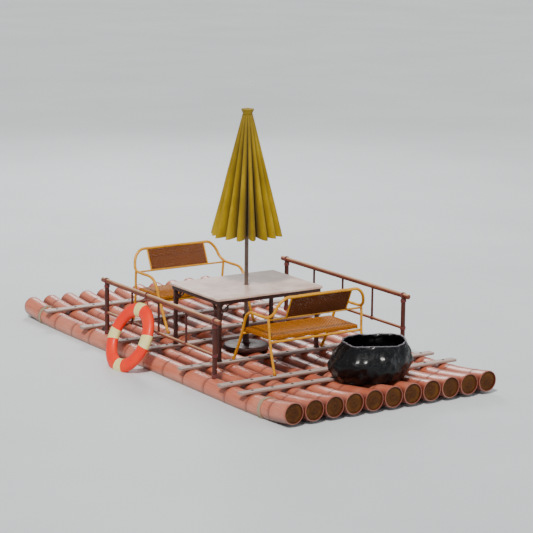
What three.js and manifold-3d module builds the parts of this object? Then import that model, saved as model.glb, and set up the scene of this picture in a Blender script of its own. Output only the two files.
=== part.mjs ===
// A tourist raft of eleven upturned bamboo-look pipes, with side rails, a table under a furled
// parasol, two garden benches, a lifebuoy and an open gear sack.
// Millimetres, +Z up, pipes along Y, the near end at -Y. Heights count from the pipes' undersides.
import * as THREE from 'three';
import { mergeVertices } from 'three/addons/utils/BufferGeometryUtils.js';
import Module from 'manifold-3d';

const wasm = await Module();
wasm.setup();

const seat = 0.3;                 // running gap between pieces that touch
const halfTurn = Math.PI;

// pipes
const pipeCount = 11;
const pipePitch = 210;
const pipeRadius = 100;
const pipeLength = 4900;
const pipeBore = 88;              // radius of the recess that the end disc sits in
const pipeRecess = 14;
const straightHalf = 1500;        // each end bends up from here
const nearRise = 80;
const farRise = 60;
const deckZ = 2 * pipeRadius;     // crest of the straight stretch

// crossbars that tie the pipes and carry the furniture
const crossbarLength = 2360;
const crossbarWidth = 80;
const crossbarThick = 25;
const nearEndBarY = -1790;
const farEndBarY = 1900;

// side rails
const railX = 1050;
const railNearY = -1160;
const railFarY = 840;
const railOverhang = 84;
const railZ = deckZ + 525;
const railRadius = 24;
const postRadius = 22;
const lowerRailZ = deckZ + 210;
const lowerRailRadius = 15;
const balusterRadius = 11;
const balusterCount = 3;

// table
const tableX = -200;
const tableY = -347;
const tableWidth = 1175;
const tableDepth = 880;
const tableZ = deckZ + 620;
const tableSlab = 22;
const tableCorner = 30;
const tableFrameHeight = 34;
const tableFrameInset = 12;
const tableFrameWall = 34;
const legInset = 45;
const legWidth = 34;
const braceRadius = 150;
const braceWall = 9;
const braceDepth = 16;
const scrollRadius = 40;

// parasol, furled
const parasolHoleRadius = 27;
const parasolPoleRadius = 19;
const parasolTopZ = deckZ + 2300;
const socketBore = 20.6;
const socketRadius = 29;
const socketTopZ = deckZ + 330;
const baseRadius = 215;
const baseThick = 45;
const canopyHemZ = deckZ + 1096;
const canopyNeckZ = parasolTopZ - 62;
const canopyHemRadius = 350;
const canopyNeckRadius = 50;
const canopyWall = 10;
const canopyFold = 0.2;           // how far the cloth falls in between ribs, as a part of the radius
const ribCount = 8;
const ribRadius = 5;
const crownZ = parasolTopZ - 100;
const crownRadius = 35;
const runnerZ = canopyHemZ + 130;
const runnerRadius = 32;
const stretcherRadius = 4;
const stretcherTopZ = canopyHemZ + 560;

// benches
const nearBenchX = -100;
const nearBenchY = -1110;
const farBenchX = -100;
const farBenchY = 790;
const benchTube = 14;
const benchHalf = 495;
const frontFootY = 350;
const rearFootY = -340;
const seatTopZ = 342;
const seatThick = 42;
const seatHalf = 482;
const seatFrontY = 200;
const seatRearY = -250;
const armZ = 512;
const archZ = 708;
const archY = -354;
const archHalf = 435;
const backRailZ = 500;
const backRailY = -262;
const backPanelHalf = 320;
const backPanelThick = 14;
const uprightTube = 8;

// lifebuoy, hung from the left top rail
const buoyY = 60;
const buoyTilt = THREE.MathUtils.degToRad(26);
const buoyDrop = 425;             // from the rail's axis to the middle of the ring
const buoyRingRadius = 280;
const buoySectionRadial = 70;
const buoySectionAxial = 46;
const ropeRadius = 6;

// gear sack on the near end, over the last crossbar
const sackX = 90;
const sackY = -1960;
const sackFootRadius = 330;
const sackHeight = 386;
const sackWall = 14;
const sackSlump = 40;             // how far the rim has sunk over to the right

const finishes = {
  pipe: new THREE.MeshStandardMaterial({ color: 0xc98f7b, roughness: 0.55 }),
  timber: new THREE.MeshStandardMaterial({ color: 0x8a4f38, roughness: 0.6 }),
  crossbar: new THREE.MeshStandardMaterial({ color: 0xb9a091, roughness: 0.7 }),
  tableSlab: new THREE.MeshStandardMaterial({ color: 0xd9bfae, roughness: 0.45 }),
  darkIron: new THREE.MeshStandardMaterial({ color: 0x33201a, roughness: 0.5, metalness: 0.4 }),
  parasolPole: new THREE.MeshStandardMaterial({ color: 0x6d5a52, roughness: 0.45, metalness: 0.3 }),
  canopy: new THREE.MeshStandardMaterial({ color: 0xa08a2c, roughness: 0.9 }),
  benchTube: new THREE.MeshStandardMaterial({ color: 0xd79a22, roughness: 0.4 }),
  benchWeave: new THREE.MeshStandardMaterial({ color: 0xc4831b, roughness: 0.7 }),
  buoy: new THREE.MeshStandardMaterial({ color: 0xe24d1c, roughness: 0.5 }),
  rope: new THREE.MeshStandardMaterial({ color: 0x6e2a2a, roughness: 0.9 }),
  sack: new THREE.MeshStandardMaterial({ color: 0x0c0d10, roughness: 0.3 }),
};

const raft = new THREE.Group();

function addPiece(parent, name, geometry, finish) {
  const piece = new THREE.Mesh(geometry, finish);
  piece.name = name;
  parent.add(piece);
  return piece;
}

function toSolid(geometry) {
  const bare = geometry.clone();
  bare.deleteAttribute('normal');
  bare.deleteAttribute('uv');
  const merged = mergeVertices(bare, 1e-3);
  const mesh = new wasm.Mesh({
    numProp: 3,
    vertProperties: new Float32Array(merged.attributes.position.array),
    triVerts: new Uint32Array(merged.index.array),
  });
  return new wasm.Manifold(mesh);
}

function toGeometry(solid) {
  const mesh = solid.getMesh();
  const geometry = new THREE.BufferGeometry();
  geometry.setAttribute('position', new THREE.BufferAttribute(mesh.vertProperties, 3));
  geometry.setIndex(new THREE.BufferAttribute(mesh.triVerts, 1));
  geometry.computeVertexNormals();
  return geometry;
}

function joined(geometries) {
  return geometries.map(toSolid).reduce((whole, next) => whole.add(next));
}

// a straight round bar between two points
function roundBar(from, to, radius, sides = 14) {
  const start = new THREE.Vector3(...from);
  const along = new THREE.Vector3(...to).sub(start);
  const bar = new THREE.CylinderGeometry(radius, radius, along.length(), sides);
  bar.translate(0, along.length() / 2, 0);
  const turn = new THREE.Quaternion().setFromUnitVectors(new THREE.Vector3(0, 1, 0), along.clone().normalize());
  bar.applyQuaternion(turn);
  return bar.translate(start.x, start.y, start.z);
}

// a bent round tube through a list of points
function bentTube(points, radius, steps, sides = 8) {
  const path = new THREE.CatmullRomCurve3(points.map((point) => new THREE.Vector3(...point)), false, 'centripetal');
  const section = new THREE.Shape();
  for (let corner = 0; corner < sides; corner += 1) {
    const angle = (corner + 0.5) * 2 * halfTurn / sides;
    const place = [radius * Math.cos(angle), radius * Math.sin(angle)];
    if (corner === 0) section.moveTo(...place);
    else section.lineTo(...place);
  }
  section.closePath();
  return new THREE.ExtrudeGeometry(section, { steps, bevelEnabled: false, extrudePath: path });
}

function roundedRectangle(width, depth, radius) {
  const [halfWidth, halfDepth] = [width / 2, depth / 2];
  const outline = new THREE.Shape();
  outline.absarc(halfWidth - radius, halfDepth - radius, radius, 0, halfTurn / 2);
  outline.absarc(-halfWidth + radius, halfDepth - radius, radius, halfTurn / 2, halfTurn);
  outline.absarc(-halfWidth + radius, -halfDepth + radius, radius, halfTurn, 1.5 * halfTurn);
  outline.absarc(halfWidth - radius, -halfDepth + radius, radius, 1.5 * halfTurn, 2 * halfTurn);
  outline.closePath();
  return outline;
}

function turned(profile, segments) {
  const points = profile.map(([radius, height]) => new THREE.Vector2(radius, height));
  return new THREE.LatheGeometry(points, segments);
}

// Each upturned end is a run of short straight steps on a parabola. A pipe's rise above its straight
// stretch, and its slope, are those of the step at that place.
const bendReach = pipeLength / 2 - straightHalf;
const bendSteps = 4;
const stationRise = (y, step) => (y < 0 ? nearRise : farRise) * (step / bendSteps) ** 2;

function pipeAt(y) {
  const past = Math.max(0, Math.abs(y) - straightHalf) * bendSteps / bendReach;
  const step = Math.min(bendSteps - 1, Math.floor(past));
  const climb = stationRise(y, step + 1) - stationRise(y, step);
  const bent = past > 0 ? 1 : 0;
  return {
    rise: stationRise(y, step) + climb * (past - step),
    slope: bent * Math.sign(y) * Math.atan(climb * bendSteps / bendReach),
  };
}

// Pipes: one lathe profile with a recess in each end, bent up towards both ends.
function pipeGeometry() {
  const half = pipeLength / 2;
  const farStations = Array.from({ length: bendSteps + 1 }, (_, step) => straightHalf + bendReach * step / bendSteps);
  const stations = [...farStations.map((y) => -y).reverse(), ...farStations];
  const profile = [
    [0, -half + pipeRecess], [pipeBore, -half + pipeRecess], [pipeBore, -half],
    ...stations.map((y) => [pipeRadius, y]),
    [pipeBore, half], [pipeBore, half - pipeRecess], [0, half - pipeRecess],
  ];
  const geometry = turned(profile, 16);
  const corners = geometry.attributes.position;
  for (let corner = 0; corner < corners.count; corner += 1) {
    corners.setZ(corner, corners.getZ(corner) + pipeRadius + pipeAt(corners.getY(corner)).rise);
  }
  geometry.computeVertexNormals();
  return geometry;
}

for (let pipe = 1; pipe <= pipeCount; pipe += 1) {
  const piece = addPiece(raft, `pipe_${pipe}`, pipeGeometry(), finishes.pipe);
  piece.position.x = (pipe - (pipeCount + 1) / 2) * pipePitch;
}

// Crossbars: flat chamfered planks laid over the pipes' crests.
const crossbarPlaces = [
  { name: 'crossbar_near_end', y: nearEndBarY },
  { name: 'crossbar_near_bench_back', y: nearBenchY + rearFootY },
  { name: 'crossbar_near_bench_front', y: nearBenchY + frontFootY },
  { name: 'crossbar_table_far', y: tableY + tableDepth / 2 - legInset },
  { name: 'crossbar_far_bench_front', y: farBenchY - frontFootY },
  { name: 'crossbar_far_bench_back', y: farBenchY - rearFootY },
  { name: 'crossbar_far_end', y: farEndBarY },
];

function crossbarGeometry() {
  const chamfer = 5;
  const [halfWidth, thick] = [crossbarWidth / 2, crossbarThick];
  const section = new THREE.Shape();
  section.moveTo(-halfWidth, 0);
  section.lineTo(halfWidth, 0);
  section.lineTo(halfWidth, thick - chamfer);
  section.lineTo(halfWidth - chamfer, thick);
  section.lineTo(-halfWidth + chamfer, thick);
  section.lineTo(-halfWidth, thick - chamfer);
  section.closePath();
  const plank = new THREE.ExtrudeGeometry(section, { depth: crossbarLength, bevelEnabled: false });
  plank.translate(0, 0, -crossbarLength / 2);
  plank.rotateX(halfTurn / 2);      // section height now along Z, its run along -Y
  plank.rotateZ(halfTurn / 2);      // run along X
  return plank;
}

for (const place of crossbarPlaces) {
  const piece = addPiece(raft, place.name, crossbarGeometry(), finishes.crossbar);
  const under = pipeAt(place.y);
  piece.rotation.x = under.slope;
  piece.position.set(0, place.y, deckZ + under.rise + seat);
}
const crossbarTopZ = deckZ + seat + crossbarThick;

// Side rails: two posts on the outer pipe, a top rail that runs past them, a lower rail, balusters.
for (const side of [{ name: 'left', x: -railX }, { name: 'right', x: railX }]) {
  const railBottom = railZ - railRadius;
  for (const end of [{ name: 'near', y: railNearY }, { name: 'far', y: railFarY }]) {
    const post = roundBar([side.x, end.y, deckZ + seat], [side.x, end.y, railBottom - seat], postRadius);
    addPiece(raft, `${side.name}_rail_post_${end.name}`, post, finishes.timber);
  }
  const top = roundBar([side.x, railNearY - railOverhang, railZ], [side.x, railFarY + railOverhang, railZ], railRadius, 16);
  addPiece(raft, `${side.name}_rail_top`, top, finishes.timber);
  const lowerEnds = [railNearY + postRadius + seat, railFarY - postRadius - seat];
  const lower = roundBar([side.x, lowerEnds[0], lowerRailZ], [side.x, lowerEnds[1], lowerRailZ], lowerRailRadius);
  addPiece(raft, `${side.name}_rail_lower`, lower, finishes.timber);
  for (let baluster = 1; baluster <= balusterCount; baluster += 1) {
    const y = railNearY + (railFarY - railNearY) * baluster / (balusterCount + 1);
    const foot = [side.x, y, lowerRailZ + lowerRailRadius + seat];
    const bar = roundBar(foot, [side.x, y, railBottom - seat], balusterRadius, 10);
    addPiece(raft, `${side.name}_rail_baluster_${baluster}`, bar, finishes.timber);
  }
}

// Table: slab with a parasol hole, a frame under its edge, and four scrolled legs.
const table = new THREE.Group();
table.position.set(tableX, tableY, 0);
raft.add(table);

const slabOutline = roundedRectangle(tableWidth, tableDepth, tableCorner);
slabOutline.holes.push(new THREE.Path().absarc(0, 0, parasolHoleRadius, 0, 2 * halfTurn, true));
const slab = new THREE.ExtrudeGeometry(slabOutline, { depth: tableSlab, bevelEnabled: false, curveSegments: 8 });
slab.translate(0, 0, tableZ - tableSlab);
addPiece(table, 'table_top', slab, finishes.tableSlab);

const frameOutline = roundedRectangle(tableWidth - 2 * tableFrameInset, tableDepth - 2 * tableFrameInset, tableCorner);
const frameHole = roundedRectangle(
  tableWidth - 2 * (tableFrameInset + tableFrameWall), tableDepth - 2 * (tableFrameInset + tableFrameWall), 8);
frameOutline.holes.push(new THREE.Path(frameHole.getPoints(4)));
const frame = new THREE.ExtrudeGeometry(frameOutline, { depth: tableFrameHeight, bevelEnabled: false, curveSegments: 4 });
const frameBottomZ = tableZ - tableSlab - seat - tableFrameHeight;
frame.translate(0, 0, frameBottomZ);
addPiece(table, 'table_frame', frame, finishes.darkIron);

// a quarter arc from the leg up to the frame, with a ring in the corner behind it; it lies in XZ
function scrollBrace() {
  const arc = new THREE.Shape();
  arc.absarc(braceRadius, -braceRadius, braceRadius, halfTurn, halfTurn / 2, true);
  arc.absarc(braceRadius, -braceRadius, braceRadius - braceWall, halfTurn / 2, halfTurn, false);
  arc.closePath();
  const ring = new THREE.Shape();
  ring.absarc(scrollRadius, -scrollRadius, scrollRadius, 0, 2 * halfTurn);
  ring.holes.push(new THREE.Path().absarc(scrollRadius, -scrollRadius, scrollRadius - braceWall, 0, 2 * halfTurn, true));
  return [arc, ring].map((outline) => {
    const strip = new THREE.ExtrudeGeometry(outline, { depth: braceDepth, bevelEnabled: false, curveSegments: 7 });
    strip.translate(0, 0, -braceDepth / 2);
    return strip.rotateX(halfTurn / 2);
  });
}

const legPlaces = [
  { name: 'near_left', side: -1, end: -1 }, { name: 'near_right', side: 1, end: -1 },
  { name: 'far_left', side: -1, end: 1 }, { name: 'far_right', side: 1, end: 1 },
];
for (const place of legPlaces) {
  const legTopZ = frameBottomZ - seat;
  const legFootZ = crossbarTopZ + seat;
  const post = new THREE.BoxGeometry(legWidth, legWidth, legTopZ - legFootZ);
  post.translate(0, 0, (legTopZ + legFootZ) / 2);
  const pieces = [post];
  for (const [index, inward] of [place.side < 0 ? 0 : halfTurn, place.end < 0 ? halfTurn / 2 : -halfTurn / 2].entries()) {
    for (const strip of scrollBrace()) {
      strip.translate(legWidth / 2 - 1, 0, legTopZ);
      strip.rotateZ(inward);
      pieces.push(strip.translate(0, 0, index * 0.01));
    }
  }
  const clipped = joined(pieces).subtract(toSolid(new THREE.BoxGeometry(900, 900, 20).translate(0, 0, legTopZ + 10)));
  const leg = addPiece(table, `table_leg_${place.name}`, toGeometry(clipped), finishes.darkIron);
  leg.position.set(place.side * (tableWidth / 2 - legInset), place.end * (tableDepth / 2 - legInset), 0);
}

// Parasol: weighted base with a socket, pole, crown with ribs, runner with stretchers, cloth, cap.
const parasol = new THREE.Group();
parasol.position.set(tableX, tableY, 0);
raft.add(parasol);
const upright = (geometry) => geometry.rotateX(halfTurn / 2);

const baseFootZ = deckZ + seat;
const socketFloorZ = baseFootZ + 12;
addPiece(parasol, 'parasol_base', upright(turned([
  [0, baseFootZ], [baseRadius, baseFootZ], [baseRadius, baseFootZ + baseThick - 12],
  [baseRadius - 20, baseFootZ + baseThick], [socketRadius + 14, baseFootZ + baseThick + 6],
  [socketRadius, baseFootZ + baseThick + 30], [socketRadius, socketTopZ], [socketBore, socketTopZ],
  [socketBore, socketFloorZ], [0, socketFloorZ],
], 24)), finishes.darkIron);

const poleTopZ = crownZ + 24;
addPiece(parasol, 'parasol_pole', upright(turned([
  [0, socketFloorZ + seat], [parasolPoleRadius, socketFloorZ + seat],
  [parasolPoleRadius, poleTopZ], [0, poleTopZ],
], 20)), finishes.parasolPole);

function canopyRadius(z) {
  const part = (canopyNeckZ - z) / (canopyNeckZ - canopyHemZ);
  return canopyNeckRadius + (canopyHemRadius - canopyNeckRadius) * part;
}

// hub bored for the pole, with a rod for each rib or stretcher
function spokedHub(hubRadius, hubBottomZ, hubTopZ, rodFrom, rodTo, rodRadius) {
  const bore = parasolPoleRadius + seat;
  const hub = upright(turned([
    [bore, hubBottomZ], [hubRadius, hubBottomZ], [hubRadius, hubTopZ], [bore, hubTopZ], [bore, hubBottomZ],
  ], 24));
  const rods = [];
  for (let rib = 0; rib < ribCount; rib += 1) {
    const rod = roundBar([rodFrom[0], 0, rodFrom[1]], [rodTo[0], 0, rodTo[1]], rodRadius, 6);
    rods.push(rod.rotateZ(rib * 2 * halfTurn / ribCount));
  }
  return toGeometry(joined([hub, ...rods]));
}

// ribs run straight from the crown to the inside of the cloth's ridges at the hem
const ribFootZ = canopyHemZ + 6;
const ribFoot = canopyRadius(ribFootZ) - canopyWall - ribRadius - 1.1;
const ribTop = crownRadius - ribRadius;
addPiece(parasol, 'parasol_crown_ribs', spokedHub(
  crownRadius, crownZ - 14, crownZ + 12, [ribTop, crownZ], [ribFoot, ribFootZ], ribRadius,
), finishes.parasolPole);

// stretchers rise from the runner and end against the ribs
const stretcherTop = ribTop + (ribFoot - ribTop) * (crownZ - stretcherTopZ) / (crownZ - ribFootZ);
addPiece(parasol, 'parasol_runner', spokedHub(
  runnerRadius, runnerZ - 25, runnerZ + 25, [runnerRadius - stretcherRadius, runnerZ + 16],
  [stretcherTop - ribRadius - stretcherRadius - 0.6, stretcherTopZ], stretcherRadius,
), finishes.parasolPole);

function canopyGeometry() {
  const rows = 2;
  const heights = Array.from({ length: rows + 1 }, (_, row) => canopyHemZ + (canopyNeckZ - canopyHemZ) * row / rows);
  const outer = heights.map((z) => [canopyRadius(z), z]);
  const inner = heights.map((z) => [canopyRadius(z) - canopyWall, z]).reverse();
  const geometry = upright(turned([...outer, ...inner, outer[0]], 48));
  const corners = geometry.attributes.position;
  for (let corner = 0; corner < corners.count; corner += 1) {
    const [x, y] = [corners.getX(corner), corners.getY(corner)];
    const fold = canopyFold * (1 - Math.cos(ribCount * Math.atan2(y, x))) / 2;
    corners.setX(corner, x * (1 - fold));
    corners.setY(corner, y * (1 - fold));
  }
  geometry.computeVertexNormals();
  return geometry;
}
addPiece(parasol, 'parasol_canopy', canopyGeometry(), finishes.canopy);

const capFootZ = canopyNeckZ + seat;
addPiece(parasol, 'parasol_cap', upright(turned([
  [0, capFootZ], [44, capFootZ], [46, capFootZ + 12], [62, parasolTopZ - 16], [60, parasolTopZ - 9],
  [22, parasolTopZ - 6], [12, parasolTopZ - 1], [0, parasolTopZ],
], 24)), finishes.canopy);

// Benches: one bent tube makes the front legs, arms and back arch; rear legs and rails join it.
function benchFrame() {
  const leftHalf = [
    [-benchHalf, frontFootY + 8, -14], [-benchHalf - 2, frontFootY - 84, 160], [-benchHalf - 6, 196, 300],
    [-benchHalf - 10, 150, 415], [-benchHalf - 14, 108, 474], [-benchHalf - 17, 40, armZ - 4],
    [-benchHalf - 18, -120, armZ], [-benchHalf - 16, -246, armZ + 8], [-benchHalf + 2, -306, 560],
    [-archHalf - 36, -334, 626], [-archHalf - 4, -348, 672], [-archHalf + 44, archY, archZ - 3],
    [-archHalf + 150, archY, archZ],
  ];
  const rightHalf = leftHalf.map(([x, y, z]) => [-x, y, z]).reverse();
  const pieces = [bentTube([...leftHalf, [0, archY, archZ + 2], ...rightHalf], benchTube, 56)];
  for (const side of [-1, 1]) {
    pieces.push(bentTube([
      [side * benchHalf, rearFootY - 6, -14], [side * (benchHalf + 5), -292, 190], [side * (benchHalf + 9), -270, 320],
      [side * (benchHalf + 14), -262, 430], [side * (benchHalf + 16), -254, armZ],
    ], benchTube - 2, 8));
    pieces.push(roundBar([side * (backPanelHalf + uprightTube + seat), backRailY, backRailZ],
      [side * (backPanelHalf + uprightTube + seat), archY, archZ], uprightTube, 8));
  }
  const seatRailZ = seatTopZ - seatThick - 12 - seat;
  const railEnd = benchHalf + 8;
  pieces.push(roundBar([-railEnd, seatFrontY - 16, seatRailZ], [railEnd, seatFrontY - 16, seatRailZ], 12, 10));
  pieces.push(roundBar([-railEnd, seatRearY - 6, seatRailZ], [railEnd, seatRearY - 6, seatRailZ], 12, 10));
  pieces.push(roundBar([-railEnd - 8, backRailY, backRailZ], [railEnd + 8, backRailY, backRailZ], 9, 8));
  const below = toSolid(new THREE.BoxGeometry(1200, 1200, 60).translate(0, 0, -30));
  return toGeometry(joined(pieces).subtract(below));
}

function seatPad() {
  const edge = 8;
  const outline = roundedRectangle(2 * (seatHalf - edge), seatFrontY - seatRearY - 2 * edge, 22);
  const pad = new THREE.ExtrudeGeometry(outline, {
    depth: seatThick - 2 * edge, bevelEnabled: true, bevelThickness: edge, bevelSize: edge, bevelSegments: 2,
    curveSegments: 4,
  });
  return pad.translate(0, (seatFrontY + seatRearY) / 2, seatTopZ - seatThick + edge);
}

function backPanel() {
  const run = Math.hypot(archY - backRailY, archZ - backRailZ);
  const lean = Math.atan2(backRailY - archY, archZ - backRailZ);
  const [low, high] = [9 + seat, run - benchTube - 4];
  const outline = roundedRectangle(2 * backPanelHalf, high - low, 10);
  const panel = new THREE.ExtrudeGeometry(outline, { depth: backPanelThick, bevelEnabled: false, curveSegments: 4 });
  panel.translate(0, (low + high) / 2, -backPanelThick / 2);
  panel.rotateX(halfTurn / 2 + lean);
  return panel.translate(0, backRailY, backRailZ);
}

const benchPlaces = [
  { name: 'near', x: nearBenchX, y: nearBenchY, turn: 0 },
  { name: 'far', x: farBenchX, y: farBenchY, turn: halfTurn },
];
for (const place of benchPlaces) {
  const bench = new THREE.Group();
  bench.position.set(place.x, place.y, crossbarTopZ + seat);
  bench.rotation.z = place.turn;
  raft.add(bench);
  addPiece(bench, `${place.name}_bench_frame`, benchFrame(), finishes.benchTube);
  addPiece(bench, `${place.name}_bench_seat`, seatPad(), finishes.benchWeave);
  addPiece(bench, `${place.name}_bench_back`, backPanel(), finishes.benchWeave);
}

// Lifebuoy: a ring that hangs from the left top rail on a rope, its foot held out from the side.
const buoy = new THREE.Group();
buoy.position.set(-railX, buoyY, railZ);
raft.add(buoy);

function buoyRing() {
  const corners = 12;
  const section = [];
  for (let corner = 0; corner <= corners; corner += 1) {
    const angle = 2 * halfTurn * corner / corners;
    section.push([buoyRingRadius + buoySectionRadial * Math.cos(angle), buoySectionAxial * Math.sin(angle)]);
  }
  const ring = turned(section, 36);
  ring.rotateZ(-halfTurn / 2);
  return ring.translate(0, 0, -buoyDrop).rotateY(buoyTilt);
}
addPiece(buoy, 'lifebuoy_ring', buoyRing(), finishes.buoy);

// the rope rises from one side of the ring's top, goes round the rail and down to the other side
function buoyRope() {
  const wrap = railRadius + ropeRadius + 1.1;
  const [clipY, clipLift] = [92, 4.1];
  const clipDrop = buoyDrop - Math.sqrt((buoyRingRadius + buoySectionRadial) ** 2 - clipY ** 2) - clipLift;
  const clipAt = (y) => [-clipDrop * Math.sin(buoyTilt), y, -clipDrop * Math.cos(buoyTilt)];
  const [turnSteps, turnPitch] = [12, 4];
  const turns = [];
  for (let step = 0; step <= turnSteps; step += 1) {
    const angle = THREE.MathUtils.degToRad(205 - 26 * step);
    turns.push([wrap * Math.cos(angle), turnPitch * (step - turnSteps / 2), wrap * Math.sin(angle)]);
  }
  return bentTube([clipAt(-clipY), ...turns, clipAt(clipY)], ropeRadius, 56, 6);
}
addPiece(buoy, 'lifebuoy_rope', buoyRope(), finishes.rope);

// Gear sack: an open, slumped sack that leans with the pipes' upturned ends and sags round a crossbar.
const sackReach = 0.96 * (sackFootRadius - 30);   // the foot's waves draw it in along Y
const sackNearY = sackY - sackReach;
const sackFarY = sackY + sackReach;
const [sackNearRise, sackFarRise] = [pipeAt(sackNearY).rise, pipeAt(sackFarY).rise];
const sackLean = Math.atan((sackNearRise - sackFarRise) / (sackNearY - sackFarY));
const sackFootZ = deckZ + (sackNearRise + sackFarRise) / 2 + seat;

function sackGeometry() {
  const [foot, wall, top] = [sackFootRadius, sackWall, sackHeight];
  const profile = [
    [0, 0], [foot - 30, 0], [foot, 24], [foot + 42, 90], [foot + 55, 150], [foot + 44, 225], [foot + 10, 300],
    [foot - 24, 355], [foot - 32, top - 8], [foot - 38, top],
    [foot - 38 - wall, top - 6], [foot - 24 - wall, 352], [foot + 10 - wall, 298], [foot + 44 - wall, 224],
    [foot + 54 - wall, 152], [foot + 30 - wall, 104], [foot - 36 - wall, 66], [0, 56],
  ];
  const geometry = upright(turned(profile, 28));
  const corners = geometry.attributes.position;
  for (let corner = 0; corner < corners.count; corner += 1) {
    const [x, y, z] = [corners.getX(corner), corners.getY(corner), corners.getZ(corner)];
    const around = Math.atan2(y, x);
    const wave = 1 + 0.035 * Math.cos(2 * around) + 0.012 * Math.cos(5 * around + 1);
    corners.setX(corner, x * wave + sackSlump * (z / top) ** 2);
    corners.setY(corner, y * wave);
  }
  const bar = pipeAt(nearEndBarY);
  const groove = new THREE.BoxGeometry(crossbarLength, crossbarWidth + 4 * seat, 2 * crossbarThick);
  groove.rotateX(bar.slope);
  groove.translate(-sackX, nearEndBarY - sackY, deckZ + bar.rise + 2 * seat - sackFootZ);
  groove.rotateX(-sackLean);
  return toGeometry(toSolid(geometry).subtract(toSolid(groove)));
}
const sack = addPiece(raft, 'gear_sack', sackGeometry(), finishes.sack);
sack.rotation.x = sackLean;
sack.position.set(sackX, sackY, sackFootZ);

// The origin is the middle of the raft's outer box, on the plane that the pipes stand on.
const bounds = new THREE.Box3().setFromObject(raft, true);
raft.position.set(-(bounds.min.x + bounds.max.x) / 2, -(bounds.min.y + bounds.max.y) / 2, -bounds.min.z);

const wholeRaft = new THREE.Group();
wholeRaft.add(raft);
export default wholeRaft;
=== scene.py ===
import math

import bpy
import numpy as np
from mathutils import Matrix, Quaternion, Vector, noise


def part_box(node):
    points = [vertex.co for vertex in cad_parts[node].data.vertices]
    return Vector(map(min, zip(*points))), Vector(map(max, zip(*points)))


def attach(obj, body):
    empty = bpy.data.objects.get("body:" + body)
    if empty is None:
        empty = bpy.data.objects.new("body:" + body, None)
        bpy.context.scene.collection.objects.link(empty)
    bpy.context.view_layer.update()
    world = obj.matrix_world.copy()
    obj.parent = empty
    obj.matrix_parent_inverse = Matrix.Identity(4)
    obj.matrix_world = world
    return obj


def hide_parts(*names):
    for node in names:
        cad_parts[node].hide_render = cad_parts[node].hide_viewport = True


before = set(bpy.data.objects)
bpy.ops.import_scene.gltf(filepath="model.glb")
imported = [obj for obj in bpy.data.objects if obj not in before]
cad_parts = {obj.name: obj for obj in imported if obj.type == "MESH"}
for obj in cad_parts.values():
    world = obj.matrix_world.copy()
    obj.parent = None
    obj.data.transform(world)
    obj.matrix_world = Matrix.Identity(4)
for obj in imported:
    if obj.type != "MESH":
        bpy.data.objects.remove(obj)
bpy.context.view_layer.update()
raftX = sum(corner.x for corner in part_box("pipe_6")) / 2   # the middle pipe, where the raft's own x is 0
deckZ = 0.2
railX = 1.05
railTopZ = deckZ + 0.525
gap = 0.0003   # between touching pieces
print("frame loaded")


def addObject(name, data, spot=(0, 0, 0)):
    made = bpy.data.objects.new(name, data)
    made.location = spot
    bpy.context.scene.collection.objects.link(made)
    return made


def aimAt(seat, aim, roll=0.0):
    look = Vector(aim) - seat.location
    seat.rotation_euler = (look.to_track_quat("-Z", "Y") @ Quaternion((0, 0, 1), roll)).to_euler()


# camera, at the photograph's angle
cameraSet = {
    "spot": (-10.422, -16.512, 4.965), "aim": (0.4525, 0.1287, 0.8499), "roll": math.radians(0.57),
    "lens": 140, "sensor": 36, "farthest": 2000,
}
lens = bpy.data.cameras.new("raftCamera")
lens.sensor_width, lens.lens, lens.clip_end = (cameraSet[key] for key in ("sensor", "lens", "farthest"))
camera = addObject("raftCamera", lens, cameraSet["spot"])
aimAt(camera, cameraSet["aim"], cameraSet["roll"])
bpy.context.scene.camera = camera


# shapes: each is a dictionary of corners, faces, a mark and a tone per corner, and a finish number
def shape(corners, faces, mark=0.0, tone=0.5, finish=0):
    corners = np.asarray(corners, float)
    marks = np.broadcast_to(np.asarray(mark, float), len(corners)).copy()
    finishes = np.broadcast_to(np.asarray(finish, int), len(faces)).copy()
    total = 0.0
    for size in (3, 4):
        group = np.array([face for face in faces if len(face) == size], int)
        for step in range(1, size - 1 if len(group) else 1):
            side = np.cross(corners[group[:, step]], corners[group[:, step + 1]])
            total += np.einsum("ij,ij->", corners[group[:, 0]], side)
    if total < 0:
        faces = [face[::-1] for face in faces]
    return {"corners": corners, "faces": faces, "mark": marks, "tone": tone, "finish": finishes}


# closed skin over a run of rings; a loop joins the last ring to the first, otherwise both ends are capped
def loft(rings, loop=False, mark=None, tone=0.5, finish=0, rowFinish=None):
    rings = np.asarray(rings, float)
    run, around = rings.shape[:2]
    corners = rings.reshape(-1, 3)
    rows = run if loop else run - 1
    faces = []
    for row in range(rows):
        here, there = row * around, (row + 1) % run * around
        for side in range(around):
            beside = (side + 1) % around
            faces.append((here + side, here + beside, there + beside, there + side))
    marks = np.zeros(run) if mark is None else np.asarray(mark, float)
    marks = np.repeat(marks, around) if marks.ndim == 1 else marks.reshape(-1)
    kinds = np.repeat(np.full(rows, finish) if rowFinish is None else np.asarray(rowFinish), around)
    if not loop:
        for row in (0, run - 1):
            corners = np.vstack([corners, rings[row].mean(0)])
            marks = np.append(marks, marks[row * around])
            kinds = np.append(kinds, np.full(around, kinds[0] if row == 0 else kinds[-1]))
            tip = len(corners) - 1
            for side in range(around):
                edge = (row * around + (side + 1) % around, row * around + side)
                faces.append((tip, *(edge if row == 0 else edge[::-1])))
    return shape(corners, faces, marks, tone, kinds)


def turnedRings(profile, middle, sides, axis="Z"):
    angles = np.arange(sides) * 2 * math.pi / sides
    rings = []
    for radius, height in profile:
        a, b = radius * np.cos(angles), radius * np.sin(angles)
        level = np.full(sides, height)
        rings.append(np.stack([a, b, level] if axis == "Z" else [a, level, b], 1) + np.asarray(middle))
    return rings


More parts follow.
